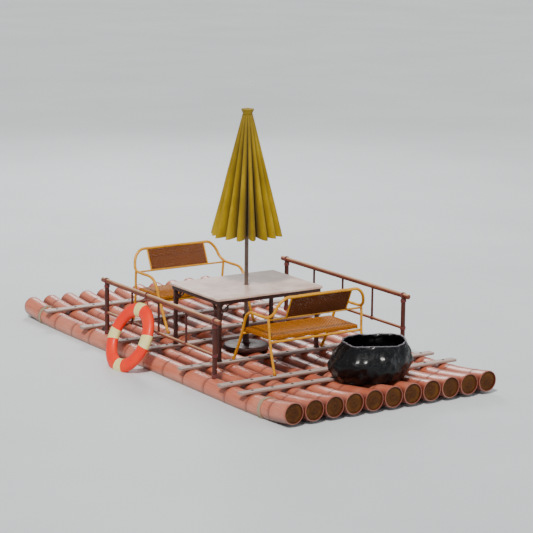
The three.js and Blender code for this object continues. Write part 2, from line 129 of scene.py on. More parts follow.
def turned(profile, middle=(0, 0, 0), sides=48, **rest):
    return loft(turnedRings(profile, middle, sides), **rest)


# the same smooth line through points as the model's bent tubes
def smoothPath(points, steps):
    points = np.asarray(points, float)
    points = np.vstack([2 * points[0] - points[1], points, 2 * points[-1] - points[-2]])
    fine = []
    for first in range(len(points) - 3):
        a, b, c, d = points[first:first + 4]
        gaps = [max(1e-6, np.linalg.norm(q - p)) ** 0.5 for p, q in ((a, b), (b, c), (c, d))]
        leave = ((b - a) / gaps[0] - (c - a) / (gaps[0] + gaps[1]) + (c - b) / gaps[1]) * gaps[1]
        reach = ((c - b) / gaps[1] - (d - b) / (gaps[1] + gaps[2]) + (d - c) / gaps[2]) * gaps[1]
        for share in np.arange(0, 1, 1 / 24):
            fine.append(b + leave * share + (3 * (c - b) - 2 * leave - reach) * share ** 2
                        + (2 * (b - c) + leave + reach) * share ** 3)
    return evenPath([*fine, points[-2]], steps)


def travelled(path):
    return np.append(0, np.cumsum(np.linalg.norm(np.diff(path, axis=0), axis=1)))


def evenPath(points, steps):
    points = np.asarray(points, float)
    reach = travelled(points)
    marks = np.linspace(0, reach[-1], steps + 1)
    return np.stack([np.interp(marks, reach, points[:, axis]) for axis in range(3)], 1)


def unit(vectors):
    return vectors / np.maximum(1e-9, np.linalg.norm(vectors, axis=-1, keepdims=True))


def firstSide(axis):
    return unit(np.cross(axis, (0, 0, 1) if abs(axis[2]) < 0.9 else (1, 0, 0)))


# directions across a path that don't twist along it
def sideways(path):
    along = unit(np.gradient(path, axis=0))
    across = [firstSide(along[0])]
    for direction in along[1:]:
        kept = across[-1] - direction * np.dot(across[-1], direction)
        across.append(kept / np.linalg.norm(kept))
    across = np.array(across)
    return along, across, np.cross(along, across)


def tube(path, radius, sides=16, bevel=0.25, **rest):
    path = np.asarray(path, float)
    along, across, beyond = sideways(path)
    radii = np.broadcast_to(np.asarray(radius, float), len(path))
    cut = radii[0] * bevel, radii[-1] * bevel
    inset = path[0] + along[0] * cut[0], path[-1] - along[-1] * cut[1]
    path = np.vstack([path[0], inset[0], path[1:-1], inset[1], path[-1]])
    across = np.vstack([across[0], across, across[-1]])
    beyond = np.vstack([beyond[0], beyond, beyond[-1]])
    radii = np.concatenate([[radii[0] - cut[0]], radii, [radii[-1] - cut[1]]])
    angles = (np.arange(sides) * 2 * math.pi / sides)[None, :, None]
    spokes = np.cos(angles) * across[:, None] + np.sin(angles) * beyond[:, None]
    return loft(path[:, None] + radii[:, None, None] * spokes, **rest)


# a straight tube between two points, in even steps
def rod(start, end, count, radius, sides, **rest):
    return tube(evenPath([start, end], count), radius, sides, **rest)


# a flat bar along a path; normals say which way its thickness lies
def flatBar(path, normals, wide, thick, **rest):
    path, normals = np.asarray(path, float), np.asarray(normals, float)
    along = unit(np.gradient(path, axis=0))
    across = unit(np.cross(along, normals))
    normals = np.cross(across, along)
    corner = 0.3 * min(wide, thick)
    a, b = wide / 2, thick / 2
    outline = [(a, b - corner), (a - corner, b), (corner - a, b), (-a, b - corner),
               (-a, corner - b), (corner - a, -b), (a - corner, -b), (a, corner - b)]
    rings = [path + x * across + y * normals for x, y in outline]
    return loft(np.stack(rings, 1), **rest)


def atHeight(ring, z):
    return np.column_stack([ring, np.full(len(ring), z)])


def drawnIn(outline, inset):
    return outline * (1 - inset / np.linalg.norm(outline, axis=1))[:, None]


def placed(part, turn=None, shift=(0, 0, 0)):
    corners = part["corners"]
    if turn is not None:
        corners = corners @ np.array(turn).T
    return {**part, "corners": corners + np.asarray(shift, float)}


def makePiece(name, shapes, finishes, replaced=(), sharp=38, body="raft"):
    corners, faces, marks, tones, kinds = [], [], [], [], []
    count = 0
    for part in shapes:
        corners.append(part["corners"])
        faces += [tuple(corner + count for corner in face) for face in part["faces"]]
        marks.append(part["mark"])
        tones.append(np.broadcast_to(np.asarray(part["tone"], float), len(part["corners"])))
        kinds.append(part["finish"])
        count += len(part["corners"])
    mesh = bpy.data.meshes.new(name)
    mesh.from_pydata(np.vstack(corners).tolist(), [], faces)
    for finish in finishes:
        mesh.materials.append(finish)
    mesh.polygons.foreach_set("material_index", np.concatenate(kinds).astype(np.int32))
    for label, values in (("mark", marks), ("tone", tones)):
        data = mesh.attributes.new(label, "FLOAT", "POINT").data
        data.foreach_set("value", np.concatenate(values).astype(np.float32))
    mesh.shade_smooth()
    mesh.set_sharp_from_angle(angle=math.radians(sharp))
    piece = addObject(name, mesh)
    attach(piece, body)
    if replaced:
        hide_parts(*replaced)
    return piece


# finishes
def tint(colour):
    return tuple((channel / 255) ** 2.2 for channel in colour) + (1.0,)


def addNode(tree, kind, inputs, **settings):
    made = tree.nodes.new("ShaderNode" + kind)
    for key, value in settings.items():
        setattr(made, key, value)
    for key, value in inputs.items():
        if isinstance(value, bpy.types.NodeSocket):
            tree.links.new(value, made.inputs[key])
        else:
            made.inputs[key].default_value = value
    return made


def grainPlace(tree, scale=(1, 1, 1)):
    place = addNode(tree, "TexCoord", {})
    return addNode(tree, "Mapping", {"Vector": place.outputs["Object"], "Scale": scale}).outputs[0]


def cloud(tree, stretch, scale, detail=3, rough=0.55):
    inputs = {"Vector": grainPlace(tree, stretch), "Scale": scale, "Detail": detail, "Roughness": rough}
    return addNode(tree, "TexNoise", inputs).outputs[0]


def steps(tree, factor, *stops):
    ramp = addNode(tree, "ValToRGB", {"Fac": factor})
    band = ramp.color_ramp
    while len(band.elements) < len(stops):
        band.elements.new(0.5)
    for element, (place, colour) in zip(band.elements, stops):
        element.position = place
        element.color = tint(colour)
    return ramp.outputs[0]


# what a factor can read besides a cloud: the point's mark or tone, its height, how far it faces up, a thread
def reading(tree, kind):
    if kind == "height":
        return addNode(tree, "SeparateXYZ", {"Vector": grainPlace(tree)}).outputs[2]
    if kind == "upward":
        normal = addNode(tree, "NewGeometry", {}).outputs["Normal"]
        return addNode(tree, "SeparateXYZ", {"Vector": normal}).outputs[2]
    if kind == "thread":
        inputs = {"Vector": grainPlace(tree), "Scale": 160, "Distortion": 1.5}
        return addNode(tree, "TexWave", inputs, bands_direction="Z").outputs[0]
    return addNode(tree, "Attribute", {}, attribute_name=kind).outputs["Fac"]


# a first colour or ramp, then coats of colour, each laid on by the product of its factors. A factor is what
# it reads and, where that is mapped, from low and high to least and most. The bump gives what it reads and
# its depth, the gloss gives what it reads and its least and most roughness
def makeFinish(name, sockets, clouds, first, coats=(), bump=None, gloss=None):
    finish = bpy.data.materials.new(name)
    finish.use_nodes = True
    tree = finish.node_tree
    shader = tree.nodes["Principled BSDF"]
    for socket, value in sockets.items():
        shader.inputs[socket].default_value = value
    clouds = {label: cloud(tree, *settings) for label, settings in clouds.items()}

    def factor(kind, *span):
        value = clouds[kind] if kind in clouds else reading(tree, kind)
        if not span:
            return value
        inputs = dict(zip(("From Min", "From Max", "To Min", "To Max"), span))
        return addNode(tree, "MapRange", {"Value": value, **inputs}).outputs[0]

    base = steps(tree, factor(first[0]), *first[1:]) if isinstance(first[0], str) else tint(first)
    for colour, *factors in coats:
        share = factor(*factors[0])
        for other in factors[1:]:
            share = addNode(tree, "Math", {0: share, 1: factor(*other)}, operation="MULTIPLY").outputs[0]
        base = addNode(tree, "Mix", {0: share, 6: base, 7: tint(colour)}, data_type="RGBA").outputs[2]
    tree.links.new(base, shader.inputs["Base Color"])
    if gloss:
        tree.links.new(factor(gloss[0], 0.3, 0.7, *gloss[1:]), shader.inputs["Roughness"])
    if bump:
        relief = addNode(tree, "Bump", {"Height": factor(bump[0]), "Distance": bump[1], "Strength": 1.0})
        tree.links.new(relief.outputs[0], shader.inputs["Normal"])
    return finish


plain = (1, 1, 1)


# weathered timber; the last coat lightens upward faces, a painted highlight
def rawTimber(name, dark, mid, pale, grain, topHighlight):
    return makeFinish(
        name, {}, {"line": (grain, 1.5, 6, 0.62), "wide": (plain, 5)},
        ("line", (0.3, dark), (0.52, mid), (0.75, pale)),
        [(dark, ("wide", 0.45, 0.7, 0, 0.4)), ((80, 52, 40), ("mark",)),
         (topHighlight, ("upward", 0.35, 0.95, 0, 1), ("line", 0.3, 0.6, 0.5, 1))],
        ("line", 0.0025), ("line", 0.45, 0.7))


def paintedIron(name, colour, rust, roughness, metallic):
    return makeFinish(
        name, {"Metallic": metallic}, {"blotch": (plain, 22, 5, 0.6), "fine": (plain, 160)}, colour,
        [(rust, ("blotch", 0.52, 0.7, 0, 0.75)), (rust, ("mark",))],
        ("fine", 0.0006), ("blotch", roughness - 0.12, roughness + 0.15))


# woven strands; the mark coat is painted shade
def strandFinish(name, low, mid, high, roughness):
    return makeFinish(
        name, {"Roughness": roughness, "Specular IOR Level": 0.25}, {"fibre": (plain, 240)},
        ("tone", (0.0, low), (0.5, mid), (1.0, high)),
        [(low, ("fibre", 0.5, 0.75, 0, 0.5)), (low, ("mark",))], ("fibre", 0.0005))


def buoyShell(name, colour, faded, dirt):
    return makeFinish(
        name, {"Specular IOR Level": 0.35, "Coat Weight": 0.12, "Coat Roughness": 0.25},
        {"patch": (plain, 8, 4), "speck": (plain, 130, 4)}, colour,
        [(faded, ("patch", 0.45, 0.7, 0, 0.7)), (dirt, ("speck", 0.6, 0.72, 0, 0.35))],
        ("speck", 0.0005), ("patch", 0.35, 0.55))


def twistedRope(name, low, high):
    return makeFinish(
        name, {"Roughness": 0.9, "Sheen Weight": 0.3}, {"fibre": (plain, 300, 4)},
        ("fibre", (0.35, low), (0.7, high)), (), ("fibre", 0.001))


# bamboo skin: the marks darken the node rings, paint shade where pipes touch and underneath, and paint shade over
# the ends' lips
skinFinish = makeFinish(
    "bambooSkin", {"Coat Weight": 0.4, "Coat Roughness": 0.24},
    {"streak": ((46, 2.2, 46), 1.6, 5, 0.6), "patch": ((1.5, 0.9, 1.5), 2.4)},
    ("tone", (0.0, (184, 92, 66)), (0.5, (202, 114, 86)), (1.0, (184, 98, 76))),
    [((146, 74, 56), ("streak", 0.42, 0.72, 0, 0.55)), ((218, 150, 126), ("patch", 0.5, 0.75, 0, 0.5)),
     ((78, 32, 24), ("mark",)), ((110, 84, 66), ("height", 0.055, 0.1, 0.6, 0.0))],
    ("streak", 0.0012), ("streak", 0.3, 0.5))
# plug: its mark coat darkens the middle and boss, and paints shade at the plug's edge in the recess
plugFinish = makeFinish(
    "discPlug", {"Roughness": 0.6, "Specular IOR Level": 0.2}, {"speck": (plain, 60, 4), "patch": (plain, 9, 4)},
    ("speck", (0.3, (60, 30, 3)), (0.6, (78, 44, 6)), (0.8, (98, 60, 12))),
    [((108, 68, 14), ("patch", 0.42, 0.68, 0, 0.6)),
     ((52, 24, 6), ("mark",), ("patch", 0.35, 0.62, 0.15, 1))],
    ("speck", 0.001))
railTimber = rawTimber("railTimber", (84, 38, 24), (118, 58, 38), (144, 80, 52), (34, 2.5, 34), (200, 156, 116))
postTimber = rawTimber("postTimber", (52, 18, 12), (78, 32, 22), (104, 50, 34), (34, 34, 2.5), (150, 98, 70))
plankTimber = rawTimber(
    "plankTimber", (122, 98, 88), (158, 132, 122), (184, 162, 152), (2.5, 44, 44), (188, 168, 160))
stoneFinish = makeFinish(
    "tableStone", {"Roughness": 0.42, "Coat Weight": 0.15},
    {"large": (plain, 5.5, 5, 0.6), "small": (plain, 70, 5, 0.7)},
    ("large", (0.35, (188, 154, 138)), (0.5, (208, 178, 162)), (0.7, (222, 196, 180))),
    [((178, 140, 122), ("small", 0.52, 0.66, 0, 0.6))], ("small", 0.0006))
ironFinish = paintedIron("darkIronPaint", (58, 32, 28), (86, 48, 36), 0.45, 0.15)
boltFinish = paintedIron("boltSteel", (120, 110, 104), (92, 62, 48), 0.45, 0.7)
poleFinish = paintedIron("parasolPolePaint", (116, 100, 90), (90, 70, 60), 0.4, 0.35)
benchPaint = paintedIron("benchTubePaint", (214, 148, 18), (164, 98, 14), 0.38, 0.05)
# parasol cloth: the mark coat is painted shade in the folds
clothFinish = makeFinish(
    "parasolCloth", {"Sheen Weight": 0.1, "Sheen Roughness": 0.5, "Roughness": 0.85, "Specular IOR Level": 0.2},
    {"large": ((1, 1, 0.5), 4, 4), "weft": ((1, 1, 0.2), 420, 2, 0.5)},
    ("large", (0.3, (126, 102, 8)), (0.55, (164, 134, 14)), (0.75, (194, 164, 34))),
    [((44, 24, 8), ("mark",)), ((120, 104, 50), ("height", 1.9, 2.45, 0.0, 0.35)),
     ((110, 88, 30), ("weft", 0.4, 0.7, 0, 0.25))],
    ("thread", 0.0006))
seatFinish = strandFinish("seatWeave", (118, 62, 0), (162, 95, 0), (202, 134, 3), 0.55)
backFinish = strandFinish("backWeave", (84, 42, 12), (116, 62, 18), (142, 84, 30), 0.6)
buoyOrange = buoyShell("buoyOrange", (242, 42, 0), (246, 70, 6), (150, 40, 10))
buoyPale = buoyShell("buoyBand", (236, 222, 140), (240, 230, 176), (176, 150, 100))
maroonRope = twistedRope("maroonRope", (76, 26, 28), (136, 58, 52))
paleRope = twistedRope("lashingRope", (120, 100, 78), (176, 156, 126))
# black vinyl; the mark coat is a painted highlight along the rim
vinylFinish = makeFinish(
    "sackVinyl", {"Specular IOR Level": 0.12, "Coat Weight": 0.42, "Coat Roughness": 0.22},
    {"crease": (plain, 9, 5), "fine": (plain, 260)}, (5, 6, 9),
    [((18, 20, 26), ("crease", 0.5, 0.75, 0, 0.6)), ((110, 106, 112), ("mark",))],
    ("crease", 0.05), ("fine", 0.3, 0.5))
print("finishes made")

# the rope that the lifebuoy hangs from: up from the ring, round the rail and down again
buoySet = {
    "pivot": np.array([raftX - railX, 0.06, railTopZ]), "tilt": math.radians(26), "drop": 0.425,
    "ring": 0.280, "radial": 0.070, "axial": 0.046, "clipY": 0.092, "clipLift": 0.0041, "wrap": 0.0311,
    "rope": 0.006, "turns": 12, "turnPitch": 0.004, "turnStart": 205, "turnStep": 26, "steps": 150,
}


def ropeRoute():
    s = buoySet
    reach = s["ring"] + s["radial"]
    clip = s["drop"] - math.sqrt(reach ** 2 - s["clipY"] ** 2) - s["clipLift"]
    x, z = -clip * math.sin(s["tilt"]), -clip * math.cos(s["tilt"])
    turns = []
    for step in range(s["turns"] + 1):
        angle = math.radians(s["turnStart"] - s["turnStep"] * step)
        across = s["turnPitch"] * (step - s["turns"] / 2)
        turns.append([s["wrap"] * math.cos(angle), across, s["wrap"] * math.sin(angle)])
    return smoothPath([(x, -s["clipY"], z), *turns, (x, s["clipY"], z)], s["steps"]) + s["pivot"]


def strandedRope(route, radius, lay=0.03, strands=3, sides=6):
    across, beyond = sideways(route)[1:]
    reach = travelled(route)
    parts = []
    for strand in range(strands):
        turn = (2 * math.pi * (reach / lay + strand / strands))[:, None]
        centre = route + radius * 0.5 * (np.cos(turn) * across + np.sin(turn) * beyond)
        parts.append(tube(centre, radius * 0.53, sides, 0.3, tone=strand / strands))
    return parts


route = ropeRoute()
strands = strandedRope(route, buoySet["rope"])
lifebuoyRope = makePiece("lifebuoyRope", strands, [maroonRope], ["lifebuoy_rope"], body="lifebuoy")

# pipes: bamboo-look skins with node rings, a rounded rim and a recessed plug at each end
pipeSet = {
    "count": 11, "radius": 0.0985, "centre": 0.1, "half": 2.45, "straight": 1.5, "nearRise": 0.08, "farRise": 0.06,
    "bend": 0.2375, "bends": 4, "nodePitch": 0.36, "nodeShift": 0.137, "nodeSwell": 0.0022,
    "collar": (0.002, 0.006, 0.011, 0.018), "sides": 36, "step": 0.034, "sway": 0.0012, "toneStep": 0.618,
    # an end's rows, from the plug's middle to the skin: radius, way past the end, finish, mark
    # the marks darken the plug's middle and boss, and are painted shade in the recess at the plug's edge and over
    # the pipe's lip
    "end": [
        (0.008, -0.013, 1, 0.7), (0.013, -0.010, 1, 0.55), (0.028, -0.010, 1, 0.4), (0.033, -0.013, 1, 0.6),
        (0.056, -0.013, 1, 0.15), (0.064, -0.012, 1, 0), (0.080, -0.012, 1, 0.1), (0.086, -0.013, 1, 0.9),
        (0.0875, -0.013, 0, 1), (0.088, -0.004, 0, 0.95), (0.0895, -0.001, 0, 0.8), (0.093, 0, 0, 0.6),
        (0.0965, -0.0015, 0, 0.45), (0.0982, -0.006, 0, 0.3),
    ],
}


def pipeX(index):
    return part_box(f"pipe_{index}")[0].x + pipeSet["centre"]


def pipeRise(y):
    past = np.maximum(0, np.abs(y) - pipeSet["straight"]) / (pipeSet["half"] - pipeSet["straight"])
    return np.where(np.asarray(y) < 0, pipeSet["nearRise"], pipeSet["farRise"]) * past ** 2


def pipeSkin(index):
    s = pipeSet
    half = s["half"]
    nodes = np.arange(-half + 0.12 + (index * s["nodeShift"]) % s["nodePitch"], half - 0.1, s["nodePitch"])
    body = np.arange(-half + 0.03, half - 0.029, s["step"])
    clear = np.abs(body[:, None] - nodes).min(1) > 0.022
    collar = np.concatenate([nodes + side * reach for side in (-1, 1) for reach in s["collar"]])
    body = np.sort(np.concatenate([body[clear], collar]))
    away = np.abs(body[:, None] - nodes).min(1)
    swell = s["nodeSwell"] * np.exp(-(away / 0.007) ** 2) - 0.0008 * np.exp(-((away - 0.013) / 0.005) ** 2)
    mark = 0.65 * np.exp(-((away - 0.009) / 0.006) ** 2) + 0.15 * np.exp(-(away / 0.03) ** 2)
    nearEnd = [(r, -half - past, kind, m) for r, past, kind, m in s["end"]]
    farEnd = [(r, half + past, kind, m) for r, past, kind, m in reversed(s["end"])]
    rows = nearEnd + [(s["radius"] + more, y, 0, m) for y, more, m in zip(body, swell, mark)] + farEnd
    rings = np.array(turnedRings([row[:2] for row in rows], (0, 0, 0), s["sides"], "Y"))
    rings[:, :, 0] += s["sway"] * np.sin(rings[:, :, 1] * 1.7 + index * 2.1) + pipeX(index)
    rings[:, :, 2] += pipeRise(rings[:, :, 1]) + s["centre"]
    # painted shade where pipes touch each other and on the underside
    angles = np.arange(s["sides"]) * math.tau / s["sides"]
    contactShade = np.clip((-np.sin(angles) - 0.2) / 0.5, 0, 1)
    for side, has in ((1, index < s["count"]), (-1, index > 1)):
        contactShade = np.maximum(contactShade, has * np.clip((side * np.cos(angles) - 0.62) / 0.3, 0, 1))
    marks = np.array([row[3] for row in rows])[:, None]
    onSkin = np.array([row[2] == 0 and abs(row[1]) < half - 0.004 for row in rows])[:, None]
    kinds = [row[2] for row in rows[:-len(farEnd)]] + [row[2] for row in farEnd[1:]]
    return loft(rings, mark=np.maximum(marks, 0.85 * contactShade * onSkin), tone=(index * s["toneStep"]) % 1,
                rowFinish=kinds)


for index in range(1, pipeSet["count"] + 1):
    makePiece(f"pipe{index}Skin", [pipeSkin(index)], [skinFinish, plugFinish], [f"pipe_{index}"], 32)
print("pipes made")

# crossbars: weathered planks with a bolt over each pipe
plankSet = {
    "places": {
        "crossbar_near_end": -1.79, "crossbar_near_bench_back": -1.45, "crossbar_near_bench_front": -0.76,
        "crossbar_table_far": 0.048, "crossbar_far_bench_front": 0.44, "crossbar_far_bench_back": 1.13,
        "crossbar_far_end": 1.90,
    },
    "half": 1.18, "wide": 0.080, "thick": 0.025, "edge": 0.004, "runs": 36, "wobble": 0.0022, "leanReach": 0.1187,
    # a bolt on its washer: radius, height
    "bolt": [(0.015, 0), (0.015, 0.002), (0.0105, 0.0024), (0.0098, 0.0055), (0.0062, 0.0078), (0.002, 0.0085)],
}


def plankLean(y):
    low, high = [float(pipeRise(y + side * plankSet["leanReach"])) for side in (-1, 1)]
    return math.atan((high - low) / pipeSet["bend"])


def plankShape(name, y):
    low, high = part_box(name)
    middle = (raftX, y, (low.z + high.z) / 2)
    turn = Matrix.Rotation(plankLean(y), 3, "X")
    half, a, b, edge = plankSet["half"], plankSet["wide"] / 2, plankSet["thick"] / 2, plankSet["edge"]
    outline = [(a, edge - b), (a, b - edge), (a - edge * 0.3, b - edge * 0.3), (a - edge, b), (a * 0.5, b - 0.0006),
               (0, b - 0.0009), (-a * 0.5, b - 0.0006), (edge - a, b), (edge * 0.3 - a, b - edge * 0.3),
               (-a, b - edge), (-a, edge - b), (edge - a, -b), (a - edge, -b)]
    inner = np.linspace(0.03 - half, half - 0.03, plankSet["runs"])
    rings = []
    for x in (-half, 0.003 - half, *inner, half - 0.003, half):
        shrink = 0.97 if abs(x) == half else 1.0
        wobble = noise.noise((x * 3, y * 5, 0)) * plankSet["wobble"]
        rings.append([(x, shrink * u + wobble, shrink * v) for u, v in outline])
    bolts = []
    for index in range(1, pipeSet["count"] + 1):
        x = pipeX(index) - raftX
        bolts.append(turned(plankSet["bolt"], (x, 0.004 * noise.noise((x, y, 3)), b - 0.0008), 12))
    return placed(loft(rings), turn, middle), [placed(bolt, turn, middle) for bolt in bolts]


allBolts = []
for name, y in plankSet["places"].items():
    plank, bolts = plankShape(name, y)
    makePiece(name.replace("crossbar", "plank"), [plank], [plankTimber], [name], 50)
    allBolts += bolts
makePiece("crossbarBolts", allBolts, [boltFinish])
print("crossbars made")

# side rails: turned timbers, a little uneven, with rounded ends
railSet = {
    "nearY": -1.16, "farY": 0.84, "topZ": railTopZ, "top": 0.024, "post": 0.022, "lowZ": deckZ + 0.21, "low": 0.015,
    "overhang": 0.084, "postGap": 0.0223, "socket": 0.004, "baluster": 0.011, "balusters": 3, "lash": 0.0035,
}


def timberRod(start, end, radius, seed, sides=20, pitch=0.03):
    path = evenPath([start, end], max(8, int(math.dist(start, end) / pitch)))
    radii = np.array([radius * (0.985 + 0.03 * noise.noise((seed, k * 0.35, 0))) for k in range(len(path))])
    return tube(path, radii, sides, 0.22, tone=(seed * 0.37) % 1)


def lashingRound(middle, along, radius, turns, thick, seed=0):
    axis = unit(np.array(along, float))
    side = firstSide(axis)
    other = np.cross(axis, side)
    count = int(turns * (22 if radius < 0.05 else 40))
    path = []
    for step in range(count + 1):
        angle = 2 * math.pi * turns * step / count + seed
        path.append(np.array(middle) + (radius + thick * 0.9) * (math.cos(angle) * side + math.sin(angle) * other)
                    + axis * (step / count - 0.5) * turns * thick * 2.02)
    return tube(path, thick, 6, 0.3)


def makeRail(label, x):
    s = railSet
    nearY, farY, topZ, lowZ, post = (s[key] for key in ("nearY", "farY", "topZ", "lowZ", "post"))
    high = topZ - s["top"] + s["socket"]
    for name, z, inset, radius, seed, sides in (("top", topZ, -s["overhang"], s["top"], 1.3, 24),
                                                ("lower", lowZ, s["postGap"], s["low"], 2.3, 20)):
        bar = timberRod((x, nearY + inset, z), (x, farY - inset, z), radius, seed + x, sides)
        makePiece(f"{label}Rail{name.title()}", [bar], [railTimber], [f"{label}_rail_{name}"], 50)
    uprights, lashes = [], []
    for end, y in (("near", nearY), ("far", farY)):
        uprights.append((f"post_{end}", timberRod((x, y, deckZ + gap), (x, y, high), post, 3.1 + y)))
        for z, along, radius, turns in ((topZ - 0.05, (0, 0, 1), post, 4), (lowZ, (0, 0, 1), post, 4),
                                        (topZ, (0, 1, 0), s["top"], 4), (deckZ + 0.02, (0, 0, 1), post, 5)):
            lashes.append(lashingRound((x, y, z), along, radius, turns, s["lash"]))
    for number in range(1, s["balusters"] + 1):
        y = nearY + (farY - nearY) * number / (s["balusters"] + 1)
        foot = lowZ + s["low"] - 0.003
        uprights.append((f"baluster_{number}", timberRod((x, y, foot), (x, y, high), s["baluster"], 5.7 + y, 14)))
        lashes.append(lashingRound((x, y, lowZ), (0, 1, 0), s["low"], 3, s["lash"]))
    for name, part in uprights:
        makePiece(f"{label}{name}Timber", [part], [postTimber], [f"{label}_rail_{name}"], 50)
    makePiece(f"{label}RailLashings", lashes, [maroonRope])


makeRail("left", raftX - railX)
makeRail("right", raftX + railX)
print("rails made")

# pale rope hitched round the outer left pipe, outside the crossbars at both ends
hitchSet = {"ys": (-2.05, 2.10), "rope": 0.0046, "turns": 5, "slopeRun": 0.05}
hitches = []
for y in hitchSet["ys"]:
    run = hitchSet["slopeRun"]
    middle = (pipeX(1), y, float(pipeRise(y)) + pipeSet["centre"])
    along = (0, 1, float(pipeRise(y + run) - pipeRise(y - run)) / (2 * run))
    radius = pipeSet["radius"] + 0.0006
    hitches.append(lashingRound(middle, along, radius, hitchSet["turns"], hitchSet["rope"], y))
makePiece("pipeHitches", hitches, [paleRope], sharp=80)

# table: a bevelled slab with the parasol's hole, and four scrolled legs
tableSet = {
    "x": raftX - 0.2, "y": -0.347, "wide": 1.175, "deep": 0.88, "topZ": deckZ + 0.62, "slab": 0.022, "corner": 0.030,
    "hole": 0.027, "bevel": 0.0035, "inset": 0.045, "leg": 0.034, "footZ": deckZ + 0.0256, "frameZ": 0.7637,
    "brace": 0.150, "braceWall": 0.009, "braceDeep": 0.016, "scroll": 0.040,
}


def roundedOutline(halfWide, halfDeep, corner, turnSteps=8, sideSteps=12):
    points = []
    for sx, sy, first in ((1, 1, 0), (-1, 1, 90), (-1, -1, 180), (1, -1, 270)):
        x, y = sx * (halfWide - corner), sy * (halfDeep - corner)
        for step in range(turnSteps + 1):
            angle = math.radians(first + 90 * step / turnSteps)
            points.append((x + corner * math.cos(angle), y + corner * math.sin(angle)))
    outline = []
    for point, after in zip(points, points[1:] + points[:1]):
        count = sideSteps if math.dist(point, after) > 0.1 else 1
        for step in range(count):
            outline.append([a + (b - a) * (step / count) for a, b in zip(point, after)])
    return np.array(outline)


def slabShape():
    t = tableSet
    topZ, lowZ, bevel, hole = t["topZ"], t["topZ"] - t["slab"], t["bevel"], t["hole"]
    edge = roundedOutline(t["wide"] / 2, t["deep"] / 2, t["corner"])
    angles = np.arctan2(edge[:, 1], edge[:, 0])
    circle = np.column_stack([np.cos(angles), np.sin(angles)])
    upper = [(hole, lowZ + 0.001), (hole, topZ - 0.003), (hole + 0.003, topZ), (hole + 0.006, topZ), (0.06, topZ)]
    rims = [(0.06, topZ), (bevel * 2.6, topZ), (bevel * 1.4, topZ), (bevel * 0.4, topZ - bevel * 0.45),
            (0, topZ - bevel * 1.4), (0, lowZ + bevel * 1.5), (0, lowZ + bevel), (bevel, lowZ), (bevel * 2, lowZ)]
    lower = [(0.06, lowZ), (hole + 0.004, lowZ), (hole + 0.001, lowZ)]
    rings = [atHeight(radius * circle, z) for radius, z in upper]
    rings += [atHeight(drawnIn(edge, inset), z) for inset, z in rims]
    rings += [atHeight(radius * circle, z) for radius, z in lower]
    return placed(loft(rings, loop=True), shift=(t["x"], t["y"], 0))


def legShape(side, end):
    t = tableSet
    top, foot, half, wall = t["frameZ"] - gap, t["footZ"] + gap, t["leg"] / 2, t["braceWall"]
    outline = roundedOutline(half, half, 0.005, 4, 1)
    rows = [(0.94, foot), (1, foot + 0.0015), *[(1, z) for z in np.linspace(foot + 0.05, top - 0.05, 8)],
            (1, top - 0.001), (0.94, top)]
    pad = [(0.030, foot), (0.030, foot + 0.004), (0.024, foot + 0.008), (0.02, foot + 0.009)]
    parts = [loft([atHeight(outline * share, z) for share, z in rows]), turned(pad, sides=28)]

    def curve(size, degrees):
        angles = np.radians(degrees)
        spokes = np.column_stack([np.cos(angles), 0 * angles, np.sin(angles)])
        return np.array([size, 0, -size]) + (size - wall / 2) * spokes, spokes

    arc, out = curve(t["brace"], np.linspace(180, 90, 22))
    arc = np.vstack([arc[0] - (0, 0, 0.004), arc, arc[-1] + (0.004, 0, 0)])
    arc[:, 2] = np.minimum(arc[:, 2], -wall / 2 - 0.0004)
    brace = flatBar(arc, np.vstack([out[0], out, out[-1]]), t["braceDeep"], wall)
    loop, out = curve(t["scroll"], np.linspace(0, 360, 45)[:-1])
    a, b = t["braceDeep"] / 2, wall / 2
    section = [(a, b * 0.5), (a * 0.8, b), (-a * 0.8, b), (-a, b * 0.5)]
    section += [(-across, -over) for across, over in section]
    scroll = loft(np.stack([loop + (0, across, 0) + over * out for across, over in section], 1), loop=True)
    for inward in (0 if side < 0 else math.pi, math.pi / 2 if end < 0 else -math.pi / 2):
        turn = Matrix.Rotation(inward, 3, "Z")
        for strip in (brace, scroll):
            parts.append(placed(placed(strip, shift=(half - 0.001, 0, top - gap)), turn))
    place = (t["x"] + side * (t["wide"] / 2 - t["inset"]), t["y"] + end * (t["deep"] / 2 - t["inset"]), 0)
    return [placed(part, shift=place) for part in parts]


makePiece("tableSlab", [slabShape()], [stoneFinish], ["table_top"])
for label, side, end in (("near_left", -1, -1), ("near_right", 1, -1), ("far_left", -1, 1), ("far_right", 1, 1)):
    makePiece(f"tableLeg_{label}", legShape(side, end), [ironFinish], [f"table_leg_{label}"])
print("table made")

# parasol: weighted base, pole, crown, runner, furled cloth and cap
parasolSet = {
    "x": raftX - 0.2, "y": -0.347, "pole": 0.019, "base": 0.215, "baseThick": 0.045, "socket": 0.029,
    "socketZ": deckZ + 0.33, "bore": 0.0206, "hemZ": deckZ + 1.096, "neckZ": 2.438, "topZ": 2.5, "hem": 0.350,
    "neck": 0.050, "crownZ": 2.40, "crown": 0.035, "runnerZ": 1.426, "runner": 0.032, "rib": 0.005,
    "stretcher": 0.004, "stretcherTopZ": 1.856, "ribs": 8, "cloth": 0.0025,
}
parasolSpot = (parasolSet["x"], parasolSet["y"], 0)


